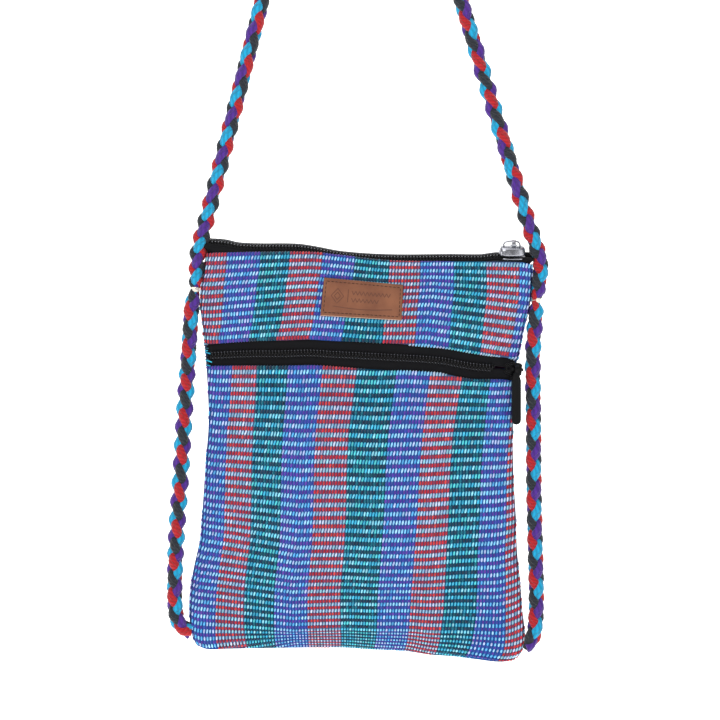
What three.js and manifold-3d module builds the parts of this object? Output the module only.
import * as THREE from "three";
import { mergeVertices } from "three/addons/utils/BufferGeometryUtils.js";
import Module from "manifold-3d";

// A woven passport bag hanging from its braided strap. Millimetres, +Z up, the front faces -Y.
// The origin is the underside of the strap's highest bend, where the strap hangs.
const wasm = await Module();
wasm.setup();

// Cloth body
const BAG_WIDTH = 168; // side seam to side seam at the widest
const BAG_HEIGHT = 200; // main zip to bottom seam
const BAG_SHIFT = 3; // the bag's middle stands right of the strap's top
const FULLNESS = 13; // half the thickness at the fullest height
const SEAM_HALF = 3.2; // half the thickness of the turned side and bottom seams
const CLOTH = 1.5; // wall of handwoven cloth
const YOKE_HEIGHT = 44; // cloth between the two zips
const POCKET_SLOT = 13; // bare height of the pocket zip between its two cloth edges
const HEM_RIPPLE = 6.5; // how far the bottom seam dips at the right
const MOUTH_DIP = 8; // how far the cloth's top edge falls from left to right
const HEM_SWAY = 1.4; // front to back wave of the bottom seam
const FOLD_DEPTH = 2.2; // deepest soft fold in the cloth
const LENS_POWER = 1.1; // how full the bulge is between the seams
const SEAM_WAVES = 7; // front to back waves of the bottom seam, in radians across the bag
const SEAM_WAVE_START = 0.6;
const STILL_SIDE = 3; // folds fade out this many seam depths from a side seam
const STILL_HEM = 2; // and from the bottom seam
const BACK_ROWS = 20; // facets down each sheet
const YOKE_ROWS = 7;
const POCKET_ROWS = 15;

// Zips
const TAPE = 1; // thickness of the zip tape
const TAPE_TUCK = 5; // tape hidden behind the cloth edge
const CHAIN_WIDTH = 4.4;
const CHAIN_HEIGHT = 1.6;
const ZIP_RISE = 7.5; // highest rise of the main zip over the cloth's top edge
const TAPE_SHOULDER = 1; // tape beyond each side of the main chain before it bends down
const ZIP_END = 1; // the tapes stop this far from the side seams
const PARTING_LENGTH = 2; // length over which the tapes part before a slider's post

// Sliders and pullers
const MAIN_SLIDER_LENGTH = 13.5;
const MAIN_SLIDER_PLACE = 10.2; // middle of the slider from the right side seam
const MAIN_SLIDER_LEVEL = 1; // the crest stays level this far beyond the slider
const POCKET_SLIDER_LENGTH = 8.6;
const POCKET_SLIDER_OVERHANG = 2.6; // how far the slider stands past the right side seam
const PLATE = 1.3; // thickness of a slider's top plate
const PLATE_STEP = 0.4; // share of that thickness below the raised crown
const PLATE_SEAT = 0.3; // share of it at which the lips, post and bridge join in
const CROWN_LENGTH = 0.92; // crown as a share of the plate's length and width
const CROWN_WIDTH = 0.7;
const NOSE = 0.62; // rounded end as a share of the plate's width
const LIP_START = -0.2; // lips as shares of half the length
const LIP_END = 0.75;
const CORNER = 0.8; // cut corners of the plate's open end
const FLANGE = 0.8; // thickness of the lips at its sides
const MAIN_FLANGE_DROP = 1.2; // how far the main slider's lips reach below the tape
const POST_WIDTH = 2; // post that parts the two tapes
const POST_LENGTH = 2.4;
const POST_BACK = 1.8; // post's middle behind the slider's middle
const FOOT_WIDTH = 3.4; // narrow plate behind the tapes
const FOOT_THICKNESS = 0.8;
const RAIL_WIDTH = 1.5; // bar of the bridge that carries the puller
const RAIL_THICKNESS = 1.2;
const BRIDGE_LENGTH = 7.4;
const BRIDGE_LEG = 1.3;
const BRIDGE_SHIFT = 0.8; // the bridge stands nearer the slider's open end
const BRIDGE_CORNER = 1.2; // cut outer corners of the bridge
const BRIDGE_INSIDE = 0.3; // and the inner ones
const EYE_WALL = 0.9; // ring of the puller round the bar
const EYE_LENGTH = 1.8;
const PULLER_LENGTH = 29.7;
const PULLER_WIDTH = 4.6;
const PULLER_NECK = 3;
const NECK_LENGTH = 0.6;
const NECK_FLARE = 1.5; // flare's length as a share of half the width
const PULLER_THICKNESS = 1.4;
const MAIN_PULLER_DROOP = 24; // degrees below level, lying over the back edge of the slider

// Label
const LABEL_WIDTH = 39.4;
const LABEL_HEIGHT = 17.5;
const LABEL_THICKNESS = 1.4;
const LABEL_TILT = -4; // degrees
const LABEL_LEFT = 79; // left seam to the label's middle
const LABEL_DROP = 24.7; // nominal top of the bag to the label's middle
const LABEL_COLUMNS = 12;
const LABEL_ROWS = 5;

// Strap
const STRAP_DIAMETER = 8.5;
const STRAP_RELIEF = 0.07; // height of the braid's lobes as a share of its radius
const BRAID_TURN = 21; // one full turn of a strand round the braid
const STRAP_DROP = 250; // origin to the nominal top of the bag
const ARCH_RADIUS = 18; // bend at the top of the strap
const TIE_DOWN = 18; // cloth's top edge to the thread tie
const TIE_LENGTH = 2.4;
const TIE_THREAD = 0.6;
const TIE_RADIUS = 1.5; // braid pinched inside the tie
const TIE_TAPER = 9; // length over which the braid narrows to the tie
const TIE_GROOVE = 0.2; // the wound thread is lower by this at its edges
const TIE_SIDES = 12;
const END_RADIUS = 2.4; // braid where it enters the bottom corner
const END_TUCK = 0.65; // share of that radius between the corner and the braid's middle
const END_RISE = 10; // corner to the entry of the braid
const SIDE_SLACK = 8; // how far the side braids stand away from the straight line

const GAP = 0.3; // running clearance between pieces that touch
const SIDES = 8; // sides of the braid and of the zip chains
const COLUMNS = 22; // facets across the bag
const SEARCH_STEPS = 12; // tries that find a place on the cloth

// Side edges of the cloth at each share of the height, as shares of half the width
const OUTLINE = [
  { down: 0, left: 0.929, right: 1.016 },
  { down: 0.05, left: 0.944, right: 1.012 },
  { down: 0.09, left: 0.962, right: 1.004 },
  { down: 0.135, left: 0.964, right: 0.982 },
  { down: 0.195, left: 0.946, right: 0.95 },
  { down: 0.25, left: 0.933, right: 0.921 },
  { down: 0.3, left: 0.924, right: 0.905 },
  { down: 0.43, left: 0.913, right: 0.899 },
  { down: 0.54, left: 0.932, right: 0.902 },
  { down: 0.65, left: 0.949, right: 0.917 },
  { down: 0.73, left: 0.965, right: 0.923 },
  { down: 0.8, left: 1, right: 0.94 },
  { down: 0.87, left: 1.027, right: 0.952 },
  { down: 0.95, left: 1.024, right: 0.972 },
  { down: 0.98, left: 1.008, right: 0.962 },
  { down: 1, left: 0.985, right: 0.935 },
];
// Thickness down the bag: middle as a share of FULLNESS, seam as a share of SEAM_HALF
const BULGE = [
  { down: 0, middle: 0.5, seam: 1.62 },
  { down: 0.06, middle: 0.55, seam: 1.42 },
  { down: 0.12, middle: 0.6, seam: 1.2 },
  { down: 0.22, middle: 0.7, seam: 1.05 },
  { down: 0.32, middle: 0.8, seam: 1 },
  { down: 0.45, middle: 1, seam: 1 },
  { down: 0.6, middle: 0.97, seam: 1 },
  { down: 0.75, middle: 0.76, seam: 1 },
  { down: 0.88, middle: 0.48, seam: 0.98 },
  { down: 1, middle: 0.24, seam: 0.95 },
];
// Cloth's top edge: dip below the nominal top as a share of MOUTH_DIP
const MOUTH = [
  { across: 0, dip: 0.31 },
  { across: 0.32, dip: 0.26 },
  { across: 0.4, dip: 0.42 },
  { across: 0.56, dip: 0.78 },
  { across: 0.75, dip: 0.84 },
  { across: 0.96, dip: 0.9 },
  { across: 1, dip: 1 },
];
// Bottom seam: dip below the nominal bottom as a share of HEM_RIPPLE
const HEM = [
  { across: 0, dip: -0.27 },
  { across: 0.03, dip: 0.02 },
  { across: 0.1, dip: 0 },
  { across: 0.45, dip: -0.11 },
  { across: 0.55, dip: 0.04 },
  { across: 0.65, dip: 0.16 },
  { across: 0.72, dip: 0.42 },
  { across: 0.8, dip: 0.58 },
  { across: 0.87, dip: 0.8 },
  { across: 0.94, dip: 1 },
  { across: 0.98, dip: 0.88 },
  { across: 1, dip: 0.58 },
];
// Pocket zip: yoke as a share of YOKE_HEIGHT, slot as a share of POCKET_SLOT
const POCKET_LINE = [
  { across: 0, yoke: 1.034, slot: 0.865 },
  { across: 0.13, yoke: 1.005, slot: 0.96 },
  { across: 0.25, yoke: 1.002, slot: 0.99 },
  { across: 0.4, yoke: 0.977, slot: 0.99 },
  { across: 0.56, yoke: 0.934, slot: 1.04 },
  { across: 0.75, yoke: 0.973, slot: 0.99 },
  { across: 0.85, yoke: 1.027, slot: 1.02 },
  { across: 0.92, yoke: 1.06, slot: 0.93 },
  { across: 1, yoke: 1.084, slot: 0.83 },
];
// Main zip: rise of the chain's top over the cloth's top edge as a share of ZIP_RISE
const ZIP_LINE = [
  { across: 0, rise: 1 },
  { across: 0.06, rise: 0.9 },
  { across: 0.1, rise: 0.71 },
  { across: 0.16, rise: 0.63 },
  { across: 0.28, rise: 0.59 },
  { across: 0.34, rise: 0.44 },
  { across: 0.42, rise: 0.33 },
  { across: 0.56, rise: 0.46 },
  { across: 0.75, rise: 0.53 },
  { across: 0.86, rise: 0.55 },
  { across: 0.9, rise: 0.68 },
  { across: 0.98, rise: 0.69 },
  { across: 1, rise: 0.76 },
];
// Soft folds: place and spread as shares of the bag, depth as a share of FOLD_DEPTH, side -1 front
const FOLDS = [
  { side: -1, across: 0.08, down: 0.64, wide: 0.07, tall: 0.12, out: 0.9 },
  { side: -1, across: 0.9, down: 0.55, wide: 0.05, tall: 0.16, out: 0.5 },
  { side: -1, across: 0.5, down: 0.34, wide: 0.3, tall: 0.05, out: -0.5 },
  { side: -1, across: 0.45, down: 0.02, wide: 0.16, tall: 0.06, out: -0.4 },
  { side: -1, across: 0.2, down: 0.93, wide: 0.07, tall: 0.07, out: -0.35 },
  { side: -1, across: 0.42, down: 0.93, wide: 0.08, tall: 0.07, out: 0.4 },
  { side: -1, across: 0.64, down: 0.94, wide: 0.07, tall: 0.06, out: -0.35 },
  { side: -1, across: 0.84, down: 0.9, wide: 0.09, tall: 0.08, out: 0.7 },
  { side: 1, across: 0.3, down: 0.25, wide: 0.16, tall: 0.08, out: -0.6 },
  { side: 1, across: 0.7, down: 0.7, wide: 0.1, tall: 0.16, out: 0.6 },
  { side: 1, across: 0.2, down: 0.85, wide: 0.09, tall: 0.1, out: 0.5 },
  { side: 1, across: 0.5, down: 0.94, wide: 0.08, tall: 0.06, out: -0.4 },
];
// Side braids: distance outward from the straight line, as shares of SIDE_SLACK
const SIDE_HANG = [
  { down: 0, left: 0, right: 0 },
  { down: 0.05, left: 0.17, right: 0.02 },
  { down: 0.15, left: 0.26, right: -0.03 },
  { down: 0.35, left: 0.45, right: 0.06 },
  { down: 0.55, left: 0.6, right: 0.14 },
  { down: 0.72, left: 0.76, right: 0.27 },
  { down: 0.85, left: 0.8, right: 0.38 },
  { down: 0.93, left: 0.72, right: 0.42 },
  { down: 0.97, left: 0.48, right: 0.34 },
  { down: 1, left: 0, right: 0 },
];

// Smooth value of one column of a table at a place along it
function follow(rows, along, at, column) {
  const clamped = Math.min(Math.max(at, rows[0][along]), rows[rows.length - 1][along]);
  let k = 0;
  while (k < rows.length - 2 && clamped > rows[k + 1][along]) k += 1;
  const slope = (i) => {
    const a = rows[Math.max(i - 1, 0)];
    const b = rows[Math.min(i + 1, rows.length - 1)];
    return (b[column] - a[column]) / (b[along] - a[along]);
  };
  const span = rows[k + 1][along] - rows[k][along];
  const t = (clamped - rows[k][along]) / span;
  const rise = rows[k + 1][column] - rows[k][column];
  const start = slope(k) * span;
  const end = slope(k + 1) * span;
  return rows[k][column] + t * (start + t * (3 * rise - 2 * start - end + t * (start + end - 2 * rise)));
}

const edgeX = (down, side) =>
  BAG_SHIFT + (side * BAG_WIDTH * follow(OUTLINE, "down", down, side < 0 ? "left" : "right")) / 2;
const mouthZ = (across) => -STRAP_DROP - MOUTH_DIP * follow(MOUTH, "across", across, "dip");
const hemZ = (across) => -STRAP_DROP - BAG_HEIGHT - HEM_RIPPLE * follow(HEM, "across", across, "dip");
const yokeShare = (across) =>
  (YOKE_HEIGHT * follow(POCKET_LINE, "across", across, "yoke")) / (mouthZ(across) - hemZ(across));
const slotShare = (across) =>
  (POCKET_SLOT * follow(POCKET_LINE, "across", across, "slot")) / (mouthZ(across) - hemZ(across));
const drop = (across, length) => length / (mouthZ(across) - hemZ(across));

// Quarter round from the seam: 0 at the edge, 1 once the distance reaches the radius
const roundOver = (distance, radius) => {
  const open = 1 - Math.min(Math.max(distance / radius, 0), 1);
  return Math.sqrt(1 - open * open);
};

// Point of the cloth body at a share across and down, a depth below its outer face; side -1 is the front
function skin(across, down, side, depth) {
  const low = edgeX(down, -1) + depth;
  const high = edgeX(down, 1) - depth;
  const x = low + (high - low) * across;
  const bottom = hemZ(across) + depth;
  const z = mouthZ(across) + (bottom - mouthZ(across)) * down;
  const seam = SEAM_HALF * follow(BULGE, "down", down, "seam");
  const middle = Math.max(FULLNESS * follow(BULGE, "down", down, "middle"), seam);
  const radius = Math.max(seam - depth, GAP);
  const edge = Math.max(seam - depth, GAP / 10);
  const nearSide = roundOver(Math.min(x - low, high - x), radius);
  const nearHem = roundOver(z - bottom, radius);
  const inner = 2 * across - 1;
  const lens = (middle - seam) * (1 - inner * inner) ** LENS_POWER;
  let fold = 0;
  for (const f of FOLDS) {
    if (f.side !== side) continue;
    const a = (across - f.across) / f.wide;
    const b = (down - f.down) / f.tall;
    fold += FOLD_DEPTH * f.out * Math.exp(-a * a - b * b);
  }
  const stillSide = roundOver(Math.min(x - low, high - x), STILL_SIDE * seam);
  const still = stillSide * roundOver(z - bottom, STILL_HEM * seam);
  const sway = HEM_SWAY * Math.sin(SEAM_WAVES * across + SEAM_WAVE_START) * down ** 3;
  const y = sway + side * (GAP / 2 + edge * nearSide * nearHem + lens + fold * still);
  return new THREE.Vector3(x, y, z);
}

// The same surface found from a place in the front view
function skinAt(x, z, side, depth) {
  let across = 0.5;
  let down = 0.5;
  for (let i = 0; i < SEARCH_STEPS; i += 1) {
    across = (x - edgeX(down, -1)) / (edgeX(down, 1) - edgeX(down, -1));
    down = (mouthZ(across) - z) / (mouthZ(across) - hemZ(across));
  }
  const point = skin(across, down, side, depth);
  return new THREE.Vector3(x, point.y, z);
}

// Closed geometry from vertices and triangles, turned to face outwards
function closed(points, triangles) {
  let volume = 0;
  for (const [a, b, c] of triangles) {
    volume += points[a].dot(new THREE.Vector3().crossVectors(points[b], points[c]));
  }
  const index = triangles.flatMap(([a, b, c]) => (volume < 0 ? [a, c, b] : [a, b, c]));
  const geometry = new THREE.BufferGeometry();
  geometry.setAttribute(
    "position",
    new THREE.Float32BufferAttribute(points.flatMap((p) => [p.x, p.y, p.z]), 3),
  );
  geometry.setIndex(index);
  geometry.computeVertexNormals();
  return geometry;
}

// A wall between an outer and an inner grid of points, closed all round its rim
function wall(outer, inner) {
  const rows = outer.length;
  const cols = outer[0].length;
  const points = [...outer.flat(), ...inner.flat()];
  const out = (i, j) => i * cols + j;
  const back = (i, j) => rows * cols + i * cols + j;
  const triangles = [];
  const quad = (a, b, c, d) => triangles.push([a, b, c], [a, c, d]);
  for (let i = 0; i < rows - 1; i += 1) {
    for (let j = 0; j < cols - 1; j += 1) {
      quad(out(i, j), out(i + 1, j), out(i + 1, j + 1), out(i, j + 1));
      quad(back(i, j), back(i, j + 1), back(i + 1, j + 1), back(i + 1, j));
    }
    quad(out(i, 0), back(i, 0), back(i + 1, 0), out(i + 1, 0));
    quad(out(i, cols - 1), out(i + 1, cols - 1), back(i + 1, cols - 1), back(i, cols - 1));
  }
  for (let j = 0; j < cols - 1; j += 1) {
    quad(out(0, j), out(0, j + 1), back(0, j + 1), back(0, j));
    quad(out(rows - 1, j), back(rows - 1, j), back(rows - 1, j + 1), out(rows - 1, j + 1));
  }
  return closed(points, triangles);
}

// A solid through closed rings of points, with a fan at each end
function loft(rings) {
  const count = rings[0].length;
  const points = rings.flat();
  const triangles = [];
  for (let i = 0; i < rings.length - 1; i += 1) {
    for (let j = 0; j < count; j += 1) {
      const a = i * count + j;
      const b = i * count + ((j + 1) % count);
      triangles.push([a, b, b + count], [a, b + count, a + count]);
    }
  }
  const last = (rings.length - 1) * count;
  for (let j = 1; j < count - 1; j += 1) {
    triangles.push([0, j + 1, j], [last, last + j, last + j + 1]);
  }
  return closed(points, triangles);
}

// Stations across the bag, closer together near the side seams
const stations = (from, to, steps) =>
  Array.from({ length: steps + 1 }, (_, i) => {
    const share = (1 - Math.cos((Math.PI * i) / steps)) / 2;
    return from + (to - from) * share;
  });

const finish = (color, roughness, metalness) =>
  new THREE.MeshStandardMaterial({ color, roughness, metalness });
const WEAVE = finish(0x4c6ca8, 0.92, 0);
const BRAID = finish(0x4a5aa6, 0.92, 0);
const BLACK_TAPE = finish(0x16161c, 0.85, 0);
const COIL = finish(0x1b1b20, 0.45, 0);
const SILVER = finish(0xb9bcc2, 0.3, 0.9);
const BLACK_METAL = finish(0x131316, 0.4, 0.9);
const LEATHER = finish(0x9a6347, 0.7, 0);
const THREAD = finish(0xe9e2d2, 0.92, 0);

const bag = new THREE.Group();
function add(name, geometry, material, parent = bag) {
  const mesh = new THREE.Mesh(geometry, material.clone());
  mesh.name = name;
  parent.add(mesh);
  return mesh;
}

// Cloth sheets of the body
function sheet(side, from, to, rows, bunched) {
  const grid = (depth) =>
    stations(0, 1, COLUMNS).map((a) =>
      Array.from({ length: rows + 1 }, (_, i) => {
        const t = bunched ? Math.sin((Math.PI * i) / rows / 2) : i / rows;
        return skin(a, from(a) + (to(a) - from(a)) * t, side, depth);
      }),
    );
  return wall(grid(0), grid(CLOTH));
}
const top = () => 0;
const bottom = () => 1;
const slotTop = (a) => yokeShare(a);
const slotBottom = (a) => yokeShare(a) + slotShare(a);
add("back_panel", sheet(1, top, bottom, BACK_ROWS, true), WEAVE);
add("front_yoke", sheet(-1, top, slotTop, YOKE_ROWS, false), WEAVE);
add("pocket_front", sheet(-1, slotBottom, bottom, POCKET_ROWS, true), WEAVE);

// Half the opening between two tapes: closed along the chain, parted at the slider's post
const seamToSeam = (down) => edgeX(down, 1) - edgeX(down, -1);
function parting(a, postStart) {
  const ramp = PARTING_LENGTH / BAG_WIDTH;
  const parted = Math.min(Math.max((a - postStart + ramp) / ramp, 0), 1);
  return GAP / 2 + (POST_WIDTH / 2 + GAP / 2) * parted;
}
const endShare = ZIP_END / BAG_WIDTH;
const tapeDepth = CLOTH + GAP;

// Pocket zip: two flat tapes behind the cloth edges, and the chain over the line where they meet
const slotDown = yokeShare(1) + slotShare(1) / 2;
const pocketInset = POCKET_SLIDER_LENGTH / 2 - POCKET_SLIDER_OVERHANG - tapeDepth;
const pocketSliderAt = 1 - pocketInset / seamToSeam(slotDown);
const postReach = POST_BACK + POST_LENGTH / 2 + 2 * GAP;
const pocketPost = pocketSliderAt - (postReach + GAP) / seamToSeam(slotDown);
const slotMiddle = (a) => yokeShare(a) + slotShare(a) / 2;
function pocketTape(direction) {
  const grid = (depth) =>
    stations(endShare, 1 - endShare, COLUMNS).map((a) => {
      const edge = direction < 0 ? slotTop(a) : slotBottom(a);
      const start = edge + direction * drop(a, TAPE_TUCK);
      const end = slotMiddle(a) + direction * drop(a, parting(a, pocketPost));
      return [0, 0.5, 1].map((t) => skin(a, start + (end - start) * t, -1, depth));
    });
  return wall(grid(tapeDepth), grid(tapeDepth + TAPE));
}
add("pocket_tape_upper", pocketTape(-1), BLACK_TAPE);
add("pocket_tape_lower", pocketTape(1), BLACK_TAPE);

// Section of a zip chain, flat underneath and rounded above: side and height as shares
const CHAIN_SECTION = [
  { side: -1, height: 0 },
  { side: -1, height: 0.55 },
  { side: -0.72, height: 1 },
  { side: -0.2, height: 0.9 },
  { side: 0.2, height: 0.9 },
  { side: 0.72, height: 1 },
  { side: 1, height: 0.55 },
  { side: 1, height: 0 },
];
const pocketChainEnd = pocketPost - (GAP + tapeDepth) / seamToSeam(slotDown);
add(
  "pocket_chain",
  loft(
    stations(2 * endShare, pocketChainEnd, COLUMNS).map((a) =>
      CHAIN_SECTION.map((p) => {
        const down = slotMiddle(a) + drop(a, (p.side * CHAIN_WIDTH) / 2);
        return skin(a, down, -1, CLOTH - p.height * CHAIN_HEIGHT);
      }),
    ),
  ),
  COIL,
);

// Main zip: a frame along the crest, level where the slider sits
const chainStack = GAP + CHAIN_HEIGHT;
const mainSliderAt = 1 - MAIN_SLIDER_PLACE / seamToSeam(0);
const sliderShare = (MAIN_SLIDER_LENGTH / 2 + MAIN_SLIDER_LEVEL) / seamToSeam(0);
const crestLevel = (a) => mouthZ(a) + ZIP_RISE * follow(ZIP_LINE, "across", a, "rise") - chainStack;
function crestZ(a) {
  const away = Math.max(Math.abs(a - mainSliderAt) / sliderShare, 1) - 1;
  const blend = Math.min(away, 1);
  return crestLevel(mainSliderAt) * (1 - blend) + crestLevel(a) * blend;
}
function crestPoint(a, side, height) {
  const point = skin(a, 0, -1, 0);
  return new THREE.Vector3(point.x, side, crestZ(a) + height);
}
const shoulder = CHAIN_WIDTH / 2 + TAPE_SHOULDER;
const mainPost = mainSliderAt - postReach / seamToSeam(0);
// Bend of the main tape beside the chain, on its outer and inner face, as shares of its thickness:
// how far its low and high corners stand in from the shoulder and below the crest
const OUTER_BEND = { lowIn: 0, lowDown: 0.9, highIn: 0.5, highDown: 0 };
const INNER_BEND = { lowIn: 1, lowDown: 1.3, highIn: 1.3, highDown: 1 };
function mainTape(side) {
  const face = (depth, bend) =>
    stations(endShare, 1 - endShare, COLUMNS + 6).map((a) => [
      skin(a, drop(a, TAPE_TUCK), side, depth),
      skin(a, 0, side, depth),
      crestPoint(a, side * (shoulder - bend.lowIn * TAPE), -bend.lowDown * TAPE),
      crestPoint(a, side * (shoulder - bend.highIn * TAPE), -bend.highDown * TAPE),
      crestPoint(a, side * parting(a, mainPost), -bend.highDown * TAPE),
    ]);
  return wall(face(tapeDepth, OUTER_BEND), face(tapeDepth + TAPE, INNER_BEND));
}
add("main_tape_front", mainTape(-1), BLACK_TAPE);
add("main_tape_back", mainTape(1), BLACK_TAPE);
add(
  "main_chain",
  loft(
    stations(1.5 * endShare, mainPost - GAP / seamToSeam(0), COLUMNS + 2).map((a) =>
      CHAIN_SECTION.map((p) =>
        crestPoint(a, (p.side * CHAIN_WIDTH) / 2, GAP + p.height * CHAIN_HEIGHT),
      ),
    ),
  ),
  COIL,
);

// Solids joined into one body
function toManifold(geometry) {
  const bare = geometry.clone();
  bare.deleteAttribute("normal");
  bare.deleteAttribute("uv");
  const merged = mergeVertices(bare, 1e-4);
  return new wasm.Manifold(
    new wasm.Mesh({
      numProp: 3,
      vertProperties: merged.attributes.position.array,
      triVerts: new Uint32Array(merged.index.array),
    }),
  );
}
function joined(geometries) {
  const solid = geometries.map(toManifold).reduce((a, b) => a.add(b));
  const mesh = solid.getMesh();
  const geometry = new THREE.BufferGeometry();
  geometry.setAttribute("position", new THREE.Float32BufferAttribute(mesh.vertProperties, 3));
  geometry.setIndex(Array.from(mesh.triVerts));
  geometry.computeVertexNormals();
  return geometry;
}
// A flat outline in two named axes, given thickness between two heights
function plate(outline, low, high) {
  const shape = new THREE.Shape(outline.map(([a, b]) => new THREE.Vector2(a, b)));
  return new THREE.ExtrudeGeometry(shape, { depth: high - low, bevelEnabled: false }).translate(0, 0, low);
}
const block = (x0, x1, y0, y1, z0, z1) =>
  new THREE.BoxGeometry(x1 - x0, y1 - y0, z1 - z0).translate((x0 + x1) / 2, (y0 + y1) / 2, (z0 + z1) / 2);

// Height of the bar that carries the puller above the slider's top plate
const eyeInner = Math.hypot(RAIL_WIDTH, RAIL_THICKNESS) / 2 + GAP;
const eyeOuter = eyeInner + EYE_WALL;
const railHeight = eyeOuter + GAP;

// A slider along X with its tape face at Z = 0: top plate, lips, bridge, post and foot
function slider(length, lipInner, lipLow, footLength) {
  const half = lipInner + FLANGE;
  const under = chainStack + GAP;
  const roof = under + PLATE;
  const seat = under + PLATE_SEAT * PLATE;
  const tail = length / 2;
  const taper = NOSE * half;
  const lipStart = LIP_START * tail;
  const lipEnd = LIP_END * tail;
  const plan = [
    [-tail, -taper],
    [lipStart, -half],
    [lipEnd, -half],
    [tail, -half + CORNER],
    [tail, half - CORNER],
    [lipEnd, half],
    [lipStart, half],
    [-tail, taper],
  ];
  const crown = plan.map(([x, y]) => [x * CROWN_LENGTH, y * CROWN_WIDTH]);
  const low = roof + railHeight - RAIL_THICKNESS / 2;
  const high = roof + railHeight + RAIL_THICKNESS / 2;
  const start = BRIDGE_SHIFT - BRIDGE_LENGTH / 2;
  const end = BRIDGE_SHIFT + BRIDGE_LENGTH / 2;
  const innerStart = start + BRIDGE_LEG;
  const innerEnd = end - BRIDGE_LEG;
  const arch = [
    [start, seat],
    [innerStart, seat],
    [innerStart, low - BRIDGE_INSIDE],
    [innerStart + BRIDGE_INSIDE, low],
    [innerEnd - BRIDGE_INSIDE, low],
    [innerEnd, low - BRIDGE_INSIDE],
    [innerEnd, seat],
    [end, seat],
    [end, high - BRIDGE_CORNER],
    [end - BRIDGE_CORNER, high],
    [start + BRIDGE_CORNER, high],
    [start, high - BRIDGE_CORNER],
  ];
  const bridge = plate(arch, -RAIL_WIDTH / 2, RAIL_WIDTH / 2).rotateX(Math.PI / 2);
  const postStart = -POST_BACK - POST_LENGTH / 2;
  const postEnd = postStart + POST_LENGTH;
  const footEnd = postStart + footLength;
  const footLow = -TAPE - GAP - FOOT_THICKNESS;
  const footHigh = -TAPE - GAP;
  return joined([
    plate(plan, under, under + PLATE_STEP * PLATE),
    plate(crown, seat, roof),
    block(lipStart, lipEnd, -half, -lipInner, lipLow, seat),
    block(lipStart, lipEnd, lipInner, half, lipLow, seat),
    bridge,
    block(postStart, postEnd, -POST_WIDTH / 2, POST_WIDTH / 2, footLow, seat),
    block(postStart, footEnd, -FOOT_WIDTH / 2, FOOT_WIDTH / 2, footLow, footHigh),
  ]);
}
// A puller with its eye round the X axis and its tab hanging along -Y
function puller() {
  const ringShape = new THREE.Shape().absarc(0, 0, eyeOuter, 0, 2 * Math.PI);
  ringShape.holes.push(new THREE.Path().absarc(0, 0, eyeInner, 0, 2 * Math.PI));
  const ring = new THREE.ExtrudeGeometry(ringShape, {
    depth: EYE_LENGTH,
    bevelEnabled: false,
    curveSegments: 12,
  });
  ring.translate(0, 0, -EYE_LENGTH / 2).rotateY(Math.PI / 2);
  const root = -(eyeInner + eyeOuter) / 2;
  const neck = PULLER_NECK / 2;
  const wide = PULLER_WIDTH / 2;
  const neckEnd = -eyeOuter - NECK_LENGTH;
  const flare = -eyeOuter - NECK_FLARE * wide;
  const bow = eyeOuter - PULLER_LENGTH + wide;
  const round = Array.from({ length: 7 }, (_, i) => {
    const angle = Math.PI * (1 + i / 6);
    return [wide * Math.cos(angle), bow + wide * Math.sin(angle)];
  });
  const outline = [
    [-neck, root],
    [-neck, neckEnd],
    [-wide, flare],
    ...round,
    [wide, flare],
    [neck, neckEnd],
    [neck, root],
  ];
  return joined([ring, plate(outline, -PULLER_THICKNESS / 2, PULLER_THICKNESS / 2)]);
}

// Main slider on the crest, its plate facing up
const roofHeight = chainStack + GAP + PLATE;
const mainSeat = crestPoint(mainSliderAt, 0, 0);
const mainZip = new THREE.Group();
mainZip.position.copy(mainSeat);
bag.add(mainZip);
const mainFoot = MAIN_SLIDER_LENGTH / 2;
const mainSlider = slider(MAIN_SLIDER_LENGTH, shoulder + GAP, -MAIN_FLANGE_DROP, mainFoot);
add("main_slider", mainSlider, SILVER, mainZip);
const mainPuller = add("main_puller", puller(), SILVER, mainZip);
mainPuller.position.set(BRIDGE_SHIFT, 0, roofHeight + railHeight);
mainPuller.rotation.x = THREE.MathUtils.degToRad(180 - MAIN_PULLER_DROOP);

// Pocket slider on the front, its plate facing forward, following the cloth
const pocketNear = pocketSliderAt - POCKET_SLIDER_LENGTH / 2 / seamToSeam(slotDown);
const pocketAway = pocketNear - TAPE_TUCK / seamToSeam(slotDown);
const pocketBelow = slotMiddle(pocketNear) + drop(pocketNear, CHAIN_WIDTH);
const seatPoint = skin(pocketNear, slotMiddle(pocketNear), -1, tapeDepth);
const awayPoint = skin(pocketAway, slotMiddle(pocketAway), -1, tapeDepth);
const lowPoint = skin(pocketNear, pocketBelow, -1, tapeDepth);
const along = seatPoint.clone().sub(awayPoint).normalize();
const outward = new THREE.Vector3().crossVectors(along, seatPoint.clone().sub(lowPoint)).normalize();
const upward = new THREE.Vector3().crossVectors(outward, along);
const pocketZip = new THREE.Group();
pocketZip.matrixAutoUpdate = false;
pocketZip.matrix
  .makeBasis(along, upward, outward)
  .setPosition(seatPoint.clone().addScaledVector(along, POCKET_SLIDER_LENGTH / 2));
bag.add(pocketZip);
const pocketLip = CHAIN_WIDTH / 2 + GAP;
const pocketSlider = slider(POCKET_SLIDER_LENGTH, pocketLip, 2 * GAP, POST_LENGTH);
add("pocket_slider", pocketSlider, BLACK_METAL, pocketZip);

// Its puller hangs plumb from the bridge
const pocketPuller = add("pocket_puller", puller(), BLACK_METAL);
pocketPuller.position.set(BRIDGE_SHIFT, 0, roofHeight + railHeight).applyMatrix4(pocketZip.matrix);
const plumb = new THREE.Matrix4().makeRotationX(Math.PI / 2);
const turn = new THREE.Matrix4().makeRotationZ(Math.atan2(along.y, along.x));
pocketPuller.quaternion.setFromRotationMatrix(turn.multiply(plumb));

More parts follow.
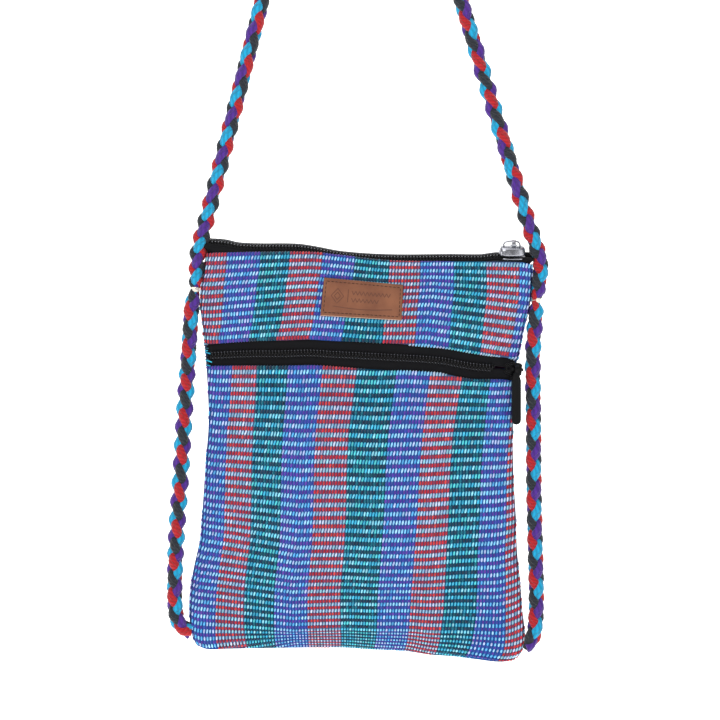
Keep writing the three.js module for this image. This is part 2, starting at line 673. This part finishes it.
// Leather label lying on the yoke
const labelX = edgeX(0, -1) + LABEL_LEFT;
const labelZ = -STRAP_DROP - LABEL_DROP;
const tilt = THREE.MathUtils.degToRad(LABEL_TILT);
const labelFace = (lift) =>
  Array.from({ length: LABEL_COLUMNS + 1 }, (_, i) =>
    Array.from({ length: LABEL_ROWS + 1 }, (_, j) => {
      const a = (i / LABEL_COLUMNS - 1 / 2) * LABEL_WIDTH;
      const b = (1 / 2 - j / LABEL_ROWS) * LABEL_HEIGHT;
      const x = labelX + a * Math.cos(tilt) - b * Math.sin(tilt);
      const z = labelZ + a * Math.sin(tilt) + b * Math.cos(tilt);
      return skinAt(x, z, -1, 0).add(new THREE.Vector3(0, -lift, 0));
    }),
  );
add("leather_label", wall(labelFace(GAP + LABEL_THICKNESS), labelFace(GAP)), LEATHER);

// Braid: rings along a path in the plane of the bag, with lobes that alternate every quarter turn
const strapRadius = STRAP_DIAMETER / 2;
function braid(points, radiusAt) {
  const curve = new THREE.CatmullRomCurve3(points, false, "centripetal");
  curve.arcLengthDivisions = 30 * points.length;
  const length = curve.getLength();
  const steps = Math.round((4 * length) / BRAID_TURN);
  const rings = [];
  for (let i = 0; i <= steps; i += 1) {
    const centre = curve.getPointAt(i / steps);
    const tangent = curve.getTangentAt(i / steps);
    const normal = new THREE.Vector3(tangent.z, 0, -tangent.x).normalize();
    const alternate = i % 2 === 0 ? 1 : -1;
    rings.push(
      Array.from({ length: SIDES }, (_, j) => {
        const angle = (2 * Math.PI * j) / SIDES;
        const lobe = 1 + STRAP_RELIEF * (alternate * Math.cos(2 * angle) - 1);
        const radius = radiusAt((i / steps) * length, length) * lobe;
        return centre
          .clone()
          .addScaledVector(normal, radius * Math.cos(angle))
          .add(new THREE.Vector3(0, radius * Math.sin(angle), 0));
      }),
    );
  }
  return loft(rings);
}
const ease = (t) => {
  const c = Math.min(Math.max(t, 0), 1);
  return c * c * (3 - 2 * c);
};

// Where each side of the braid meets the bag
function hug(side, down, radius) {
  const top = mouthZ(side < 0 ? 0 : 1);
  return new THREE.Vector3(edgeX(down, side) + side * (radius + GAP), 0, top - BAG_HEIGHT * down);
}
const tieDown = TIE_DOWN / BAG_HEIGHT;
const tieOuter = TIE_RADIUS + GAP + TIE_THREAD;
const tiePoint = (side) => hug(side, tieDown, tieOuter);
const archCentre = new THREE.Vector3(0, 0, strapRadius - ARCH_RADIUS);
const onArch = (angle) =>
  archCentre
    .clone()
    .add(new THREE.Vector3(Math.cos(angle), 0, Math.sin(angle)).multiplyScalar(ARCH_RADIUS));

// Angle on the arch where the straight leg from a point at the bag touches it
function touch(side, from) {
  const dx = from.x - archCentre.x;
  const dz = from.z - archCentre.z;
  const lean = Math.acos(ARCH_RADIUS / Math.hypot(dx, dz));
  return Math.atan2(dz, dx) + side * lean;
}
function legPoints(side) {
  const tie = tiePoint(side);
  tie.z += GAP / 2;
  const shoulderPoint = hug(side, 0, strapRadius);
  const half = hug(side, tieDown / 2, strapRadius - GAP);
  const angle = touch(side, shoulderPoint);
  const straight = [0.1, 0.35, 0.65, 0.9].map((t) => shoulderPoint.clone().lerp(onArch(angle), t));
  return { points: [tie, half, shoulderPoint, ...straight], angle };
}
const leftLeg = legPoints(-1);
const rightLeg = legPoints(1);
const startAngle = leftLeg.angle < 0 ? leftLeg.angle + 2 * Math.PI : leftLeg.angle;
const endAngle = rightLeg.angle;
const archPoints = Array.from({ length: SIDES + 1 }, (_, i) =>
  onArch(startAngle + ((endAngle - startAngle) * i) / SIDES),
);
const loopPoints = [...leftLeg.points, ...archPoints, ...rightLeg.points.reverse()];
const pinched = (distance) =>
  TIE_RADIUS + (strapRadius - TIE_RADIUS) * ease((distance - TIE_LENGTH) / TIE_TAPER);
add("strap_loop", braid(loopPoints, (s, length) => pinched(Math.min(s, length - s))), BRAID);

function sideBraid(side) {
  const start = tiePoint(side);
  start.z -= GAP / 2;
  const cornerDown = 1 - END_RISE / BAG_HEIGHT;
  const corner = hug(side, cornerDown, END_TUCK * END_RADIUS);
  const key = side < 0 ? "left" : "right";
  const points = SIDE_HANG.map((row) => {
    const point = start.clone().lerp(corner, row.down);
    point.x += side * SIDE_SLACK * row[key];
    return point;
  });
  return braid(points, (s, length) => {
    const entering = END_RADIUS + (strapRadius - END_RADIUS) * ease((length - s) / TIE_TAPER);
    return Math.min(pinched(s), entering);
  });
}
add("side_braid_left", sideBraid(-1), BRAID);
add("side_braid_right", sideBraid(1), BRAID);

// Thread wound round the pinched braid
function tie(side) {
  const inner = TIE_RADIUS + GAP;
  const half = TIE_LENGTH / 2;
  const profile = [
    [inner, -half],
    [tieOuter - TIE_GROOVE, -half],
    [tieOuter, -half / 2],
    [tieOuter - TIE_GROOVE / 2, 0],
    [tieOuter, half / 2],
    [tieOuter - TIE_GROOVE, half],
    [inner, half],
    [inner, -half],
  ].map(([r, z]) => new THREE.Vector2(r, z));
  const centre = tiePoint(side);
  return new THREE.LatheGeometry(profile, TIE_SIDES).rotateX(Math.PI / 2).translate(centre.x, 0, centre.z);
}
add("thread_tie_left", tie(-1), THREAD);
add("thread_tie_right", tie(1), THREAD);

export default bag;
